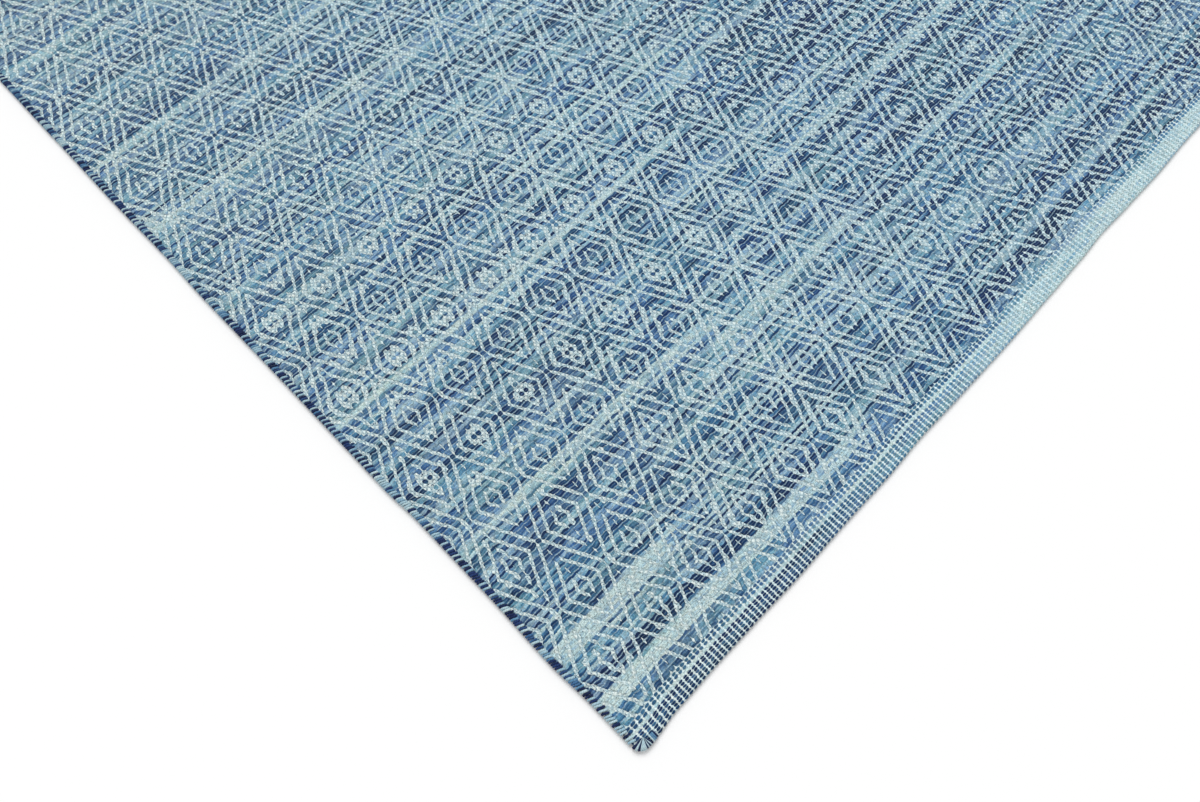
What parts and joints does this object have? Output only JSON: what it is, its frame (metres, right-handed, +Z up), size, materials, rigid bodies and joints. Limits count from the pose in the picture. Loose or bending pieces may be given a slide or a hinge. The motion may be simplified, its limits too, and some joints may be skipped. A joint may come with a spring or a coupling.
{
  "type": "dhurrie rug",
  "caption": "Flat-woven rectangular rug lying flat, with plain-woven end bands and overcast yarn along its long sides and round its corners.",
  "frame": {"origin": "middle of the underside, on the surface that the rug lies on", "axes": "+X across the rug along the weft, +Y along its length along the warp, +Z up"},
  "size_m": [1.6038, 2.3072, 0.0054],
  "materials": {
    "woven_cloth": "matt point-twill weave, blue weft over a pale warp, streaky from lot to lot of yarn",
    "overcast_yarn": "matt plied yarn, navy to pale blue from stitch to stitch"
  },
  "bodies": {
    "root": {"woven_cloth": "woven_cloth", "overcast_left": "overcast_yarn", "overcast_right": "overcast_yarn"}
  },
  "joints": []
}
